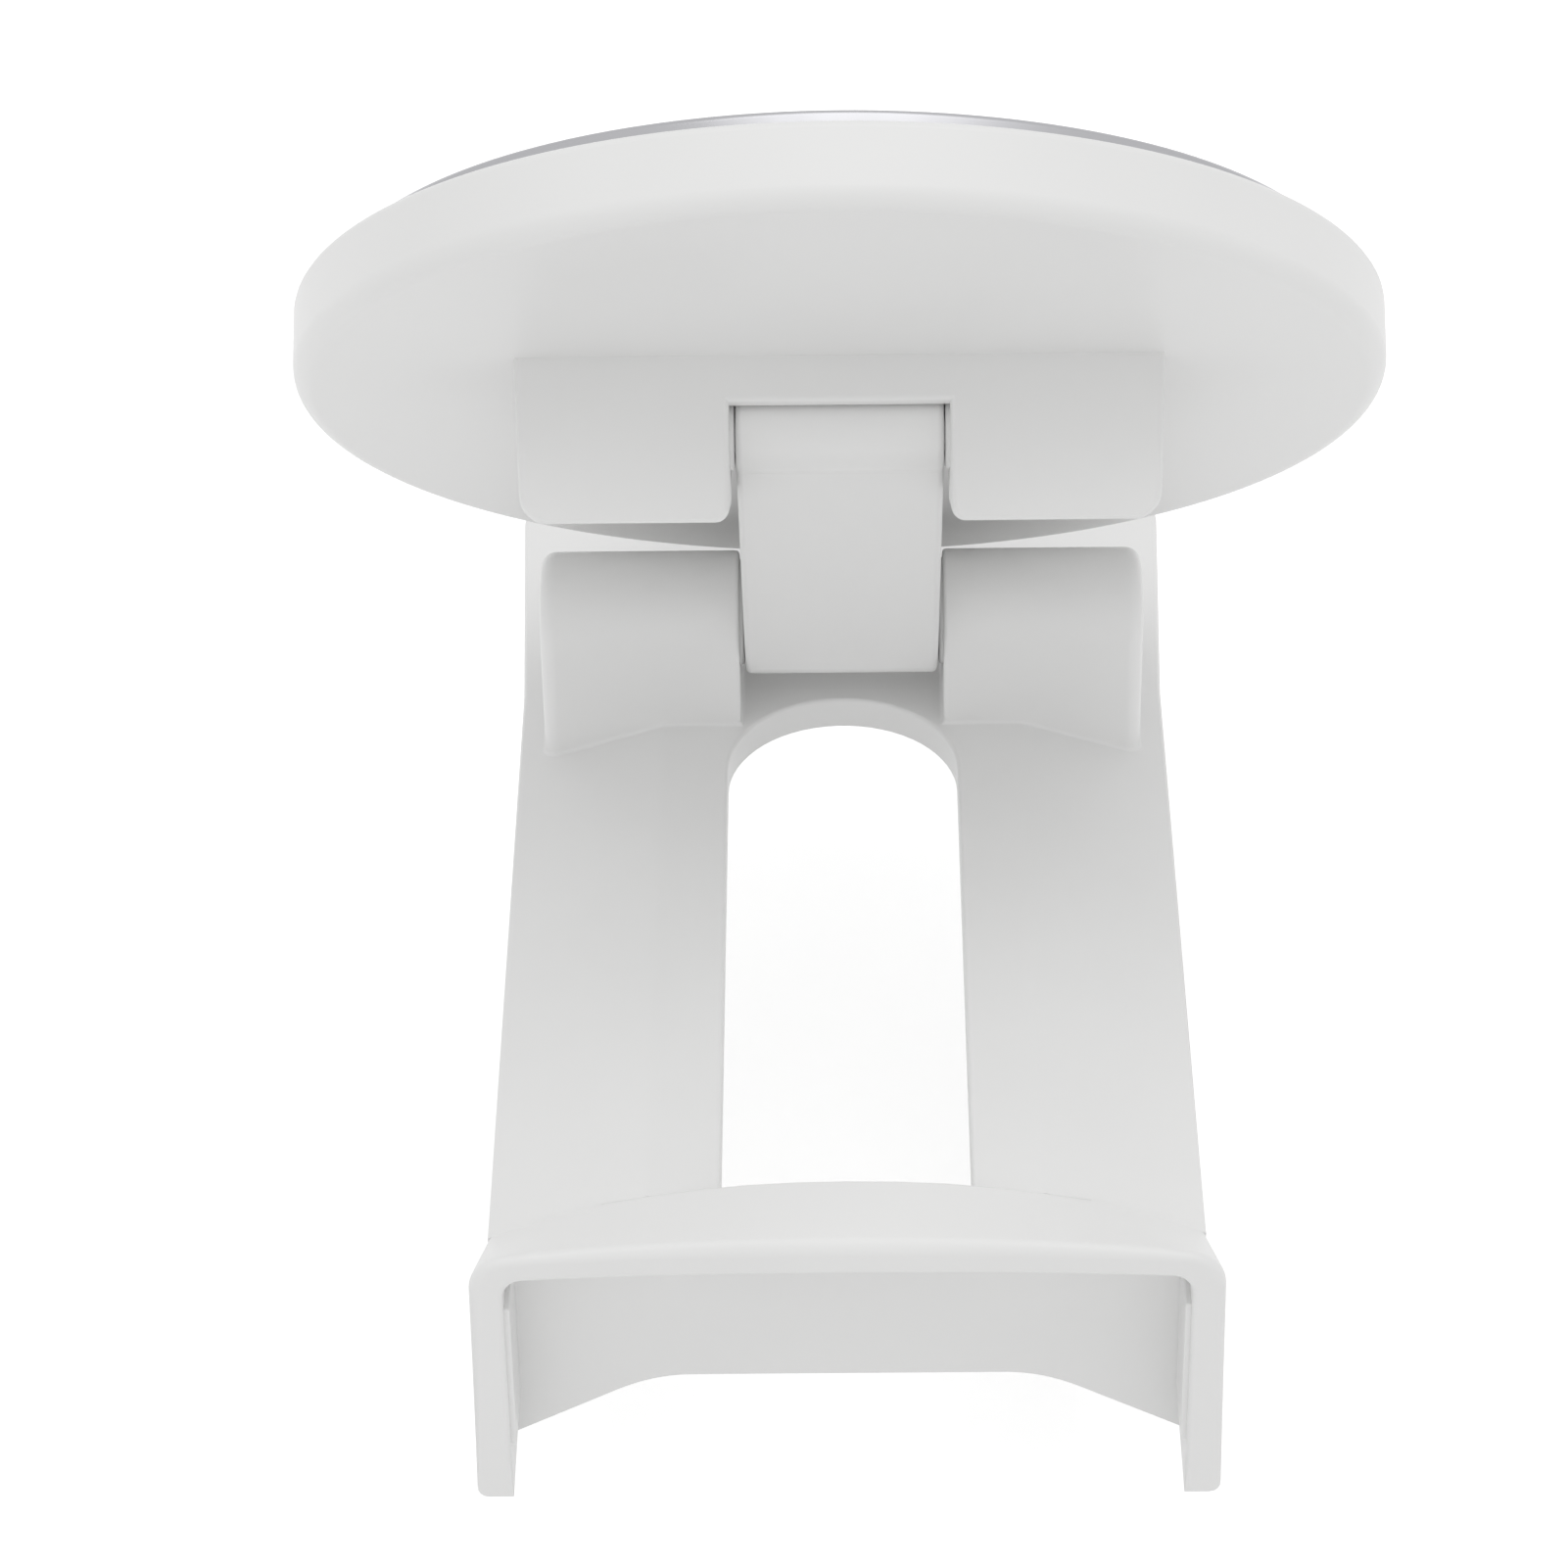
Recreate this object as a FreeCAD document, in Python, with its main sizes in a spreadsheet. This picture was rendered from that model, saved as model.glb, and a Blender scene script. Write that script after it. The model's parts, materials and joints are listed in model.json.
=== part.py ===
"""Magnetic phone holder that clips over the carry loop of a drinking bottle.

Frame: X across the clip, +Y from the hooded mouth to the tail, +Z up.
The origin is on the underside of the clip's plate, midway along the loop channel.
The link is drawn about its lower pivot and the head about its upper pivot,
so the two lean angles set the pose of everything above the clip.
"""
import FreeCAD, Part
import os
import re
import Sketcher

doc = FreeCAD.newDocument("bottle_phone_holder")
sheet = doc.addObject("Spreadsheet::Sheet", "sizes")

# Driving dimensions, in millimetres and degrees
SIZES = {
    "plate_width": 37.0,
    "plate_flat": 20.4,
    "plate_thick": 2.0,
    "shoulder_drop": 2.8,
    "tail_flare": 0.75,
    "tail_bend": 24.0,
    "tail_end": 44.0,
    "tail_corner": 2.0,
    "lip_wall": 1.8,
    "lip_depth": 6.7,
    "slot_width": 12.9,
    "slot_apex": 19.6,
    "slot_wall": 0.7,
    "hood_front": 27.5,
    "hood_back": 23.0,
    "hood_flare": 0.9,
    "hood_wall": 1.85,
    "hood_crest": 3.0,
    "hood_brow": 2.5,
    "brow_shoulder": 1.7,
    "hood_corner": 2.4,
    "brow_lining": 1.1,
    "brow_arch": 0.3,
    "cheek_depth": 14.9,
    "cheek_splay": 0.15,
    "cheek_tip": 0.7,
    "mouth_corner": 0.9,
    "land_rise": 0.3,
    "land_top": 2.0,
    "land_bottom": 11.5,
    "land_inset": 0.4,
    "web_thick": 2.4,
    "web_height": 10.5,
    "web_step": 0.4,
    "hinge_gap": 11.5,
    "ear_span": 34.0,
    "ear_round": 0.9,
    "pivot_place": 20.75,
    "pivot_height": 7.4,
    "barrel_radius": 3.5,
    "pin_radius": 1.25,
    "pin_play": 0.04,
    "pin_recess": 0.5,
    "link_side_play": 0.3,
    "link_length": 25.9,
    "link_lean": 32.78,
    "link_barrel": 2.3,
    "link_waist": 2.0,
    "head_tilt": 52.0,
    "pivot_to_disc": 3.0,
    "disc_offset": 3.6,
    "bracket_depth": 9.1,
    "bracket_rise": 2.6,
    "bracket_front": 3.25,
    "bracket_back": 3.2,
    "bracket_draft": 0.45,
    "bracket_round": 1.1,
    "bracket_brow": 0.4,
    "notch_lip": 2.5,
    "notch_play": 0.3,
    "notch_roof": 0.6,
    "disc_radius": 29.0,
    "disc_thick": 4.5,
    "disc_round": 2.0,
    "disc_lip_bevel": 0.3,
    "plate_radius": 27.2,
    "face_thick": 1.7,
    "face_seat": 0.5,
    "face_play": 0.1,
    "face_bevel": 0.2,
    "magnet_outer": 26.0,
    "magnet_inner": 22.4,
    "magnet_thick": 1.6,
    "magnet_gap_angle": 1.5,
    "magnet_play": 0.1,
}
MAGNET_COUNT = 16

for row, (alias, value) in enumerate(SIZES.items(), start=1):
    sheet.set(f"A{row}", alias)
    sheet.set(f"B{row}", str(value))
    sheet.setAlias(f"B{row}", alias)
doc.recompute()


def sized(text):
    """Turn a formula of size names into one that reads the sheet."""
    return re.sub(r"[a-z_]+", lambda m: "sizes." + m.group() if m.group() in SIZES else m.group(), text)


def value(text):
    """Work out a formula of size names now, for geometry that needs a starting value."""
    return float(sheet.evalExpression(sized(text)))


def new_body(label):
    body = doc.addObject("PartDesign::Body", label)
    body.Label = label
    return body


def seat(body, place, tilt_axis=1, tilt="0"):
    """Place a finished body: where its local origin goes, and its turn about X."""
    body.Placement = FreeCAD.Placement(FreeCAD.Vector(), FreeCAD.Rotation(FreeCAD.Vector(tilt_axis, 0, 0), 1))
    for axis, formula in zip("xyz", place):
        body.setExpression(f"Placement.Base.{axis}", sized(formula))
    body.setExpression("Placement.Rotation.Angle", sized(tilt))


def on_plane(body, name, role, offset):
    """A new sketch on one of the body's origin planes, moved along that plane's normal."""
    sketch = body.newObject("Sketcher::SketchObject", name)
    sketch.AttachmentSupport = [(next(f for f in body.Origin.OriginFeatures if f.Role == role), "")]
    sketch.MapMode = "FlatFace"
    sketch.setExpression("AttachmentOffset.Base.z", sized(offset))
    return sketch


def hold(sketch, kind, reference, formula):
    """Add one named dimension to a sketch and bind it to the sheet."""
    index = sketch.addConstraint(Sketcher.Constraint(kind, *reference, value(formula)))
    name = f"{kind.lower()}_{index}"
    sketch.renameConstraint(index, name)
    sketch.setExpression(f"Constraints.{name}", sized(formula))


def outline(body, name, role, corners, offset="0", crown=None):
    """A closed sketch with corners given as formulas; crown bulges the last edge by that rise."""
    sketch = on_plane(body, name, role, offset)
    points = [FreeCAD.Vector(value(x), value(y), 0) for x, y in corners]
    count = len(points)
    straight = count if crown is None else count - 1
    for i in range(straight):
        sketch.addGeometry(Part.LineSegment(points[i], points[(i + 1) % count]))
    if crown is not None:
        top = (points[-1] + points[0]) / 2 + FreeCAD.Vector(0, value(crown), 0)
        sketch.addGeometry(Part.ArcOfCircle(points[0], top, points[-1]))
    for i in range(straight - 1):
        sketch.addConstraint(Sketcher.Constraint("Coincident", i, 2, i + 1, 1))
    if crown is None:
        sketch.addConstraint(Sketcher.Constraint("Coincident", count - 1, 2, 0, 1))
    for i, (x, y) in enumerate(corners):
        end = (i, 1) if i < straight else (i - 1, 2)
        hold(sketch, "DistanceX", (-1, 1, *end), x)
        hold(sketch, "DistanceY", (-1, 1, *end), y)
    if crown is not None:
        sketch.addConstraint(Sketcher.Constraint("Coincident", count - 1, 1, 0, 1))
        sketch.addConstraint(Sketcher.Constraint("Coincident", count - 1, 2, count - 2, 2))
        half = corners[0][0]
        hold(sketch, "Radius", (count - 1,), f"(({half})^2 + ({crown})^2) / (2 * ({crown}))")
    return sketch


def extrude(body, name, sketch, length, cut=False):
    """Push a sketch along its plane's normal, as material or as a cut."""
    feature = body.newObject("PartDesign::Pocket" if cut else "PartDesign::Pad", name)
    feature.Profile = sketch
    feature.Reversed = cut
    feature.setExpression("Length", sized(length))


def block(body, name, low, high, cut=False):
    """A box between two corners given as formulas."""
    feature = body.newObject("PartDesign::SubtractiveBox" if cut else "PartDesign::AdditiveBox", name)
    for side, axis, start, end in zip(("Length", "Width", "Height"), "xyz", low, high):
        feature.setExpression(side, sized(f"({end}) - ({start})"))
        feature.setExpression(f"Placement.Base.{axis}", sized(start))


TURN_TO = {
    "x": FreeCAD.Rotation(FreeCAD.Vector(0, 1, 0), 90),
    "z": FreeCAD.Rotation(),
}


def round_bar(body, name, along, start, radius, length, cut=False):
    """A cylinder along X or Z from a start point given as formulas."""
    kind = "PartDesign::SubtractiveCylinder" if cut else "PartDesign::AdditiveCylinder"
    feature = body.newObject(kind, name)
    feature.Placement = FreeCAD.Placement(FreeCAD.Vector(), TURN_TO[along])
    for axis, formula in zip("xyz", start):
        feature.setExpression(f"Placement.Base.{axis}", sized(formula))
    feature.setExpression("Radius", sized(radius))
    feature.setExpression("Height", sized(length))


def ease(body, kind, name, property_name, size, chosen):
    """Work the edges of the body so far that the chosen test picks."""
    doc.recompute()
    base = body.Tip
    edges = [f"Edge{i}" for i, edge in enumerate(base.Shape.Edges, start=1) if chosen(edge)]
    feature = body.newObject(kind, name)
    feature.Base = (base, edges)
    feature.setExpression(property_name, sized(size))


def soften(body, name, radius, chosen):
    """Round the chosen edges."""
    ease(body, "PartDesign::Fillet", name, "Radius", radius, chosen)


def bevel(body, name, size, chosen):
    """Cut a small flat along the chosen edges."""
    ease(body, "PartDesign::Chamfer", name, "Size", size, chosen)


def near(a, b):
    return abs(a - b) < 1e-4


def runs_along(edge, axis):
    """True for a straight edge along one axis."""
    step = edge.Vertexes[-1].Point - edge.Vertexes[0].Point
    return near(abs(getattr(step, axis)), edge.Length)


# Names for places that several pieces share
LINK_WIDTH = "(hinge_gap - 2 * link_side_play)"
EAR_OUTER = "(ear_span / 2)"
EAR_INNER = "(hinge_gap / 2)"
EAR_BACK = "-(pivot_place + barrel_radius)"
LOWER_PIVOT = ("0", "pivot_place", "pivot_height")
UPPER_PIVOT = (
    "0",
    "pivot_place - link_length * sin(link_lean)",
    "pivot_height + link_length * cos(link_lean)",
)
DISC_FRONT = "(pivot_to_disc + disc_thick)"
FACE_SEAT = f"({DISC_FRONT} - face_seat)"
GROOVE_DEPTH = "(magnet_thick + magnet_play)"
GROOVE_FLOOR = f"({FACE_SEAT} - {GROOVE_DEPTH})"
PAST = 1.0

# Hood: an arched crest that settles to a wider, flatter brow, with two hanging cheeks
clip = new_body("base_clip")
EDGE_TOP = "(plate_thick - shoulder_drop)"
CREST_HALF = "plate_width / 2"
BROW_HALF = "(plate_width / 2 + hood_flare)"


def hood_outline(name, place, half, shoulder, top):
    corners = [
        (half, shoulder),
        (f"{half} + cheek_splay", "-cheek_depth"),
        (f"-({half} + cheek_splay)", "-cheek_depth"),
        (f"-({half})", shoulder),
    ]
    return outline(clip, name, "XZ_Plane", corners, offset=place, crown=f"{top} - {shoulder}")


def runs_fore_and_aft(edge):
    """True for an edge that spans the hood from its crest to its brow."""
    return edge.BoundBox.YLength > value("hood_front - hood_back") * 0.95


crest = hood_outline("hood_crest_outline", "hood_back", CREST_HALF, EDGE_TOP, "hood_crest")
brow = hood_outline("hood_brow_outline", "hood_front", BROW_HALF, "brow_shoulder", "hood_brow")
hood = clip.newObject("PartDesign::AdditiveLoft", "hood")
hood.Profile = crest
hood.Sections = [brow]
hood.Ruled = True
soften(
    clip, "hood_shoulders", "hood_corner",
    lambda edge: runs_fore_and_aft(edge) and edge.CenterOfMass.z > value("-cheek_depth / 2"),
)
soften(
    clip, "cheek_tips", "cheek_tip",
    lambda edge: runs_fore_and_aft(edge) and near(edge.CenterOfMass.z, value("-cheek_depth")),
)

# Clip plate: a strip with a flat middle and sloping shoulders, a little wider towards its tail
FLAT_HALF = "plate_flat / 2"
TAIL_HALF = "(plate_width / 2 + tail_flare)"


def shoulder_height(half, level):
    """Height of a level of the plate, out on its sloping shoulder."""
    return f"({level} - shoulder_drop * (2 * ({half}) - plate_flat) / (plate_width - plate_flat))"


TAIL_UNDERSIDE = shoulder_height(TAIL_HALF, "0")
section = [
    (f"-{TAIL_HALF}", TAIL_UNDERSIDE),
    (f"-{FLAT_HALF}", "0"),
    (FLAT_HALF, "0"),
    (TAIL_HALF, TAIL_UNDERSIDE),
    (TAIL_HALF, shoulder_height(TAIL_HALF, "plate_thick")),
    (FLAT_HALF, "plate_thick"),
    (f"-{FLAT_HALF}", "plate_thick"),
    (f"-{TAIL_HALF}", shoulder_height(TAIL_HALF, "plate_thick")),
]
section_sketch = outline(clip, "plate_section", "XZ_Plane", section, offset="-tail_end")
extrude(clip, "plate", section_sketch, "tail_end + hood_back")
for side, sign in (("left", "-"), ("right", "")):
    trim = [
        (f"{sign}plate_width / 2", "-hood_back"),
        (f"{sign}({TAIL_HALF} + {PAST})", "-hood_back"),
        (f"{sign}({TAIL_HALF} + {PAST})", "tail_end"),
        (f"{sign}{TAIL_HALF}", "tail_end"),
        (f"{sign}plate_width / 2", "tail_bend"),
    ]
    trim_sketch = outline(clip, f"{side}_trim_plan", "XY_Plane", trim, offset=f"{TAIL_UNDERSIDE} - {PAST}")
    extrude(clip, f"{side}_trim", trim_sketch, f"plate_thick - {TAIL_UNDERSIDE} + {PAST}", cut=True)
soften(
    clip, "tail_corners", "tail_corner",
    lambda edge: runs_along(edge, "z") and near(edge.CenterOfMass.y, value("tail_end")),
)

# Web behind the mouth, from the plate down to the foot of the cheeks
web = [
    (CREST_HALF, "plate_thick / 2 - shoulder_drop"),
    (f"{CREST_HALF} + cheek_splay", "-cheek_depth"),
    (f"-{CREST_HALF} - cheek_splay", "-cheek_depth"),
    (f"-{CREST_HALF}", "plate_thick / 2 - shoulder_drop"),
    (f"-{FLAT_HALF}", "plate_thick / 2"),
    (FLAT_HALF, "plate_thick / 2"),
]
web_sketch = outline(clip, "web_outline", "XZ_Plane", web, offset="hood_back - web_thick")
extrude(clip, "web", web_sketch, "web_thick")

# Side lips that keep the loop from sliding sideways under the plate
for name, low, high in (
    ("left_lip", "-plate_width / 2", "-plate_width / 2 + lip_wall"),
    ("right_lip", "plate_width / 2 - lip_wall", "plate_width / 2"),
):
    block(
        clip, name,
        (low, "-hood_back + web_thick / 2", "-lip_depth"),
        (high, "tail_bend", "plate_thick / 2 - shoulder_drop"),
    )

# Mouth of the hood: a pocket under the arch between the cheeks, open in front and below
MOUTH_HALF = f"({BROW_HALF} - hood_wall)"
BROW_CEILING = "(brow_shoulder - brow_lining)"
CREST_CEILING = "(plate_thick - shoulder_drop - hood_wall)"


def mouth_outline(name, place, shoulder, arch):
    corners = [
        (MOUTH_HALF, shoulder),
        (MOUTH_HALF, f"-cheek_depth - {PAST}"),
        (f"-{MOUTH_HALF}", f"-cheek_depth - {PAST}"),
        (f"-{MOUTH_HALF}", shoulder),
    ]
    return outline(clip, name, "XZ_Plane", corners, offset=place, crown=arch)


mouth_front = mouth_outline("mouth_brow_outline", "hood_front", BROW_CEILING, "brow_arch")
CREST_ARCH = f"hood_crest - {EDGE_TOP}"
mouth_back = mouth_outline("mouth_crest_outline", "hood_back", CREST_CEILING, CREST_ARCH)
mouth = clip.newObject("PartDesign::SubtractiveLoft", "mouth")
mouth.Profile = mouth_front
mouth.Sections = [mouth_back]
mouth.Ruled = True
soften(
    clip, "mouth_corners", "mouth_corner",
    lambda edge: runs_fore_and_aft(edge)
    and near(edge.CenterOfMass.z, value(f"({BROW_CEILING} + {CREST_CEILING}) / 2"))
    and near(abs(edge.CenterOfMass.x), value(MOUTH_HALF)),
)

# Raised lands inside the cheeks, and the relieved lower edge of the web
for name, low, high in (
    ("left_land", f"-{MOUTH_HALF} - land_rise", f"-{MOUTH_HALF} + land_rise"),
    ("right_land", f"{MOUTH_HALF} - land_rise", f"{MOUTH_HALF} + land_rise"),
):
    block(clip, name, (low, "-hood_front + land_inset", "-land_bottom"), (high, "-hood_back", "-land_top"))
relief = [
    (f"-{FLAT_HALF}", "-web_height"),
    (f"-{MOUTH_HALF}", "-cheek_depth + web_step"),
    (f"-{MOUTH_HALF}", f"-cheek_depth - {PAST}"),
    (MOUTH_HALF, f"-cheek_depth - {PAST}"),
    (MOUTH_HALF, "-cheek_depth + web_step"),
    (FLAT_HALF, "-web_height"),
]
WEB_BACK = "(hood_back - web_thick)"
relief_sketch = outline(clip, "web_relief_outline", "XZ_Plane", relief, offset=f"{WEB_BACK} - {PAST}")
extrude(clip, "web_relief", relief_sketch, f"web_thick + {PAST}", cut=True)

# Slot along the plate, from just behind the crest to a round end between the hinge ears
SLOT_HALF = "slot_width / 2"
block(
    clip, "slot_run",
    (f"-{SLOT_HALF}", "-hood_back + slot_wall", f"-{PAST}"),
    (SLOT_HALF, f"slot_apex - {SLOT_HALF}", f"plate_thick + {PAST}"),
    cut=True,
)
round_bar(
    clip, "slot_end", "z", ("0", f"slot_apex - {SLOT_HALF}", f"-{PAST}"),
    SLOT_HALF, f"plate_thick + 2 * {PAST}", cut=True,
)

# Lower hinge ears, each a block with a round top that stands down onto the shoulder
for side, sign, low in (("left", "-", f"-{EAR_OUTER}"), ("right", "", EAR_INNER)):
    foot = [
        (f"{sign}{EAR_INNER}", "pivot_height"),
        (f"{sign}{EAR_INNER}", "plate_thick / 2"),
        (f"{sign}{FLAT_HALF}", "plate_thick / 2"),
        (f"{sign}{EAR_OUTER}", shoulder_height(EAR_OUTER, "plate_thick / 2")),
        (f"{sign}{EAR_OUTER}", "pivot_height"),
    ]
    foot_sketch = outline(clip, f"{side}_ear_outline", "XZ_Plane", foot, offset=EAR_BACK)
    extrude(clip, f"{side}_ear_foot", foot_sketch, "2 * barrel_radius")
    round_bar(
        clip, f"{side}_ear_barrel", "x", (low, "pivot_place", "pivot_height"),
        "barrel_radius", f"{EAR_OUTER} - {EAR_INNER}",
    )
soften(
    clip, "ear_ends", "ear_round",
    lambda edge: all(near(abs(v.X), value(EAR_OUTER)) for v in edge.Vertexes)
    and edge.CenterOfMass.z > value("plate_thick") + value("ear_round"),
)
round_bar(
    clip, "pin_bore", "x", (f"-{EAR_OUTER} - {PAST}", "pivot_place", "pivot_height"),
    "pin_radius", f"ear_span + 2 * {PAST}", cut=True,
)

# Link between the hinges, drawn upright from its lower pivot: two barrels and a tapering bar
link = new_body("hinge_link")
bar = [
    ("-barrel_radius", "0"),
    ("barrel_radius", "0"),
    ("link_waist", "link_length"),
    ("-link_waist", "link_length"),
]
bar_sketch = outline(link, "bar_outline", "YZ_Plane", bar, offset=f"-{LINK_WIDTH} / 2")
extrude(link, "bar", bar_sketch, LINK_WIDTH)
LINK_ENDS = (("lower", "0", "barrel_radius"), ("upper", "link_length", "link_barrel"))
for name, height, radius in LINK_ENDS:
    round_bar(link, f"{name}_barrel", "x", (f"-{LINK_WIDTH} / 2", "0", height), radius, LINK_WIDTH)
for name, height, _ in LINK_ENDS:
    round_bar(
        link, f"{name}_bore", "x", (f"-{LINK_WIDTH} / 2 - {PAST}", "0", height),
        "pin_radius + pin_play", f"{LINK_WIDTH} + 2 * {PAST}", cut=True,
    )
seat(link, LOWER_PIVOT, tilt="link_lean")

# Head moulding, drawn about the upper pivot with its front along +Z: the disc and its hinge bracket
head = new_body("disc_housing")
round_bar(head, "disc", "z", ("0", "disc_offset", "pivot_to_disc"), "disc_radius", "disc_thick")
soften(head, "disc_back_edge", "disc_round", lambda edge: near(edge.CenterOfMass.z, value("pivot_to_disc")))
bevel(
    head, "disc_front_edge", "disc_lip_bevel",
    lambda edge: near(edge.CenterOfMass.z, value(DISC_FRONT)) and edge.Length > value("disc_radius"),
)
BRACKET_TIP = "(pivot_to_disc - bracket_depth)"
BRACKET_ROOT = "(pivot_to_disc + disc_thick / 4)"
bracket = [
    (f"-{EAR_OUTER}", BRACKET_ROOT),
    (f"-{EAR_OUTER} + bracket_draft", BRACKET_TIP),
    (f"{EAR_OUTER} - bracket_draft", BRACKET_TIP),
    (EAR_OUTER, BRACKET_ROOT),
]
bracket_sketch = outline(head, "bracket_outline", "XZ_Plane", bracket, offset="-bracket_back")
extrude(head, "bracket", bracket_sketch, "bracket_front + bracket_back")
underside = [
    ("-bracket_front", BRACKET_TIP),
    ("bracket_back", f"{BRACKET_TIP} + bracket_rise"),
    ("bracket_back", f"{BRACKET_TIP} - {PAST}"),
    ("-bracket_front", f"{BRACKET_TIP} - {PAST}"),
]
underside_sketch = outline(head, "underside_slope", "YZ_Plane", underside, offset=f"-{EAR_OUTER}")
extrude(head, "bracket_underside", underside_sketch, "ear_span", cut=True)
soften(
    head, "bracket_corners", "bracket_round",
    lambda edge: near(edge.BoundBox.YLength, value("bracket_front + bracket_back"))
    and near(edge.CenterOfMass.z, value(f"{BRACKET_TIP} + bracket_rise / 2")),
)
soften(
    head, "bracket_front_edge", "bracket_brow",
    lambda edge: all(near(v.Y, value("-bracket_front")) for v in edge.Vertexes)
    and edge.CenterOfMass.z < value(f"{BRACKET_TIP} + bracket_round"),
)

# Notch for the link: open below, round behind its front lip, and open at the back for the bar
block(
    head, "notch",
    (f"-{EAR_INNER}", f"-bracket_front - {PAST}", f"{BRACKET_TIP} - {PAST}"),
    (EAR_INNER, f"bracket_back + {PAST}", "pivot_to_disc - notch_lip"),
    cut=True,
)
round_bar(
    head, "notch_round", "x", (f"-{EAR_INNER}", "0", "0"), "link_barrel + notch_play", "hinge_gap", cut=True,
)
block(
    head, "notch_back",
    (f"-{EAR_INNER}", "0", "0"),
    (EAR_INNER, f"bracket_back + {PAST}", "pivot_to_disc - notch_roof"),
    cut=True,
)
round_bar(
    head, "pin_bore", "x", (f"-{EAR_OUTER} - {PAST}", "0", "0"),
    "pin_radius", f"ear_span + 2 * {PAST}", cut=True,
)

# Recess for the metal face, and the groove that takes the magnets
round_bar(
    head, "face_recess", "z", ("0", "disc_offset", FACE_SEAT),
    "plate_radius + face_play", "face_seat", cut=True,
)
round_bar(
    head, "magnet_groove", "z", ("0", "disc_offset", GROOVE_FLOOR),
    "magnet_outer + magnet_play", GROOVE_DEPTH, cut=True,
)
round_bar(
    head, "magnet_core", "z", ("0", "disc_offset", GROOVE_FLOOR), "magnet_inner - magnet_play", GROOVE_DEPTH,
)
seat(head, UPPER_PIVOT, tilt_axis=-1, tilt="head_tilt")

# Metal face that the phone rests on, set into the front of the disc
face = new_body("face_plate")
round_bar(face, "face", "z", ("0", "disc_offset", FACE_SEAT), "plate_radius", "face_thick")
bevel(
    face, "face_rim", "face_bevel",
    lambda edge: near(edge.CenterOfMass.z, value(f"{FACE_SEAT} + face_thick")),
)
seat(face, UPPER_PIVOT, tilt_axis=-1, tilt="head_tilt")

# Arc magnets in a ring behind the face, each a sector of a short tube
magnets = new_body("magnet_ring")
for index in range(MAGNET_COUNT):
    sector = magnets.newObject("PartDesign::AdditiveCylinder", f"magnet_{index}")
    turn = 360.0 / MAGNET_COUNT * index
    sector.Placement = FreeCAD.Placement(FreeCAD.Vector(), FreeCAD.Rotation(FreeCAD.Vector(0, 0, 1), turn))
    sector.setExpression("Placement.Base.y", sized("disc_offset"))
    sector.setExpression("Placement.Base.z", sized(GROOVE_FLOOR))
    sector.setExpression("Radius", sized("magnet_outer"))
    sector.setExpression("Height", sized("magnet_thick"))
    sector.setExpression("Angle", sized(f"360 / {MAGNET_COUNT} - magnet_gap_angle"))
round_bar(
    magnets, "ring_hole", "z", ("0", "disc_offset", GROOVE_FLOOR),
    "magnet_inner", "magnet_thick", cut=True,
)
seat(magnets, UPPER_PIVOT, tilt_axis=-1, tilt="head_tilt")

# Hinge pins, held in the ears and free in the link
pins = []
for name, pivot in (("lower", LOWER_PIVOT), ("upper", UPPER_PIVOT)):
    pin = new_body(f"{name}_hinge_pin")
    round_bar(
        pin, "shank", "x", (f"-{EAR_OUTER} + bracket_draft + pin_recess", "0", "0"),
        "pin_radius", "ear_span - 2 * (bracket_draft + pin_recess)",
    )
    seat(pin, pivot)
    pins.append(pin)

# Check every object, then write one file for each piece
doc.recompute()
for item in doc.Objects:
    if "Invalid" in item.State or "Error" in item.State:
        raise RuntimeError(f"{item.Label} failed: {item.State}")
os.makedirs("parts", exist_ok=True)
for piece in [clip, link, head, face, magnets, *pins]:
    shape = piece.Shape
    if shape.isNull() or not shape.isValid():
        raise RuntimeError(f"{piece.Label} has no valid shape")
    print(f"{piece.Label}: {len(shape.Solids)} solids, {shape.Volume:.1f} mm3")
    shape.exportStep(f"parts/{piece.Label}.step")
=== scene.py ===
# %% [markdown]
# # A phone holder that clips over a bottle's carry loop
# The real thing is three white mouldings, a metal face and two hinge pins.
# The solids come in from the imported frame, already in place and to size, so this
# lesson is about looks: soft moulded edges, a satin white plastic, turned metal,
# and a camera and light that suit a white object on white.

# %% Load the frame
import json
import math

import bmesh
import bpy
from mathutils import Matrix, Vector


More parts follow.
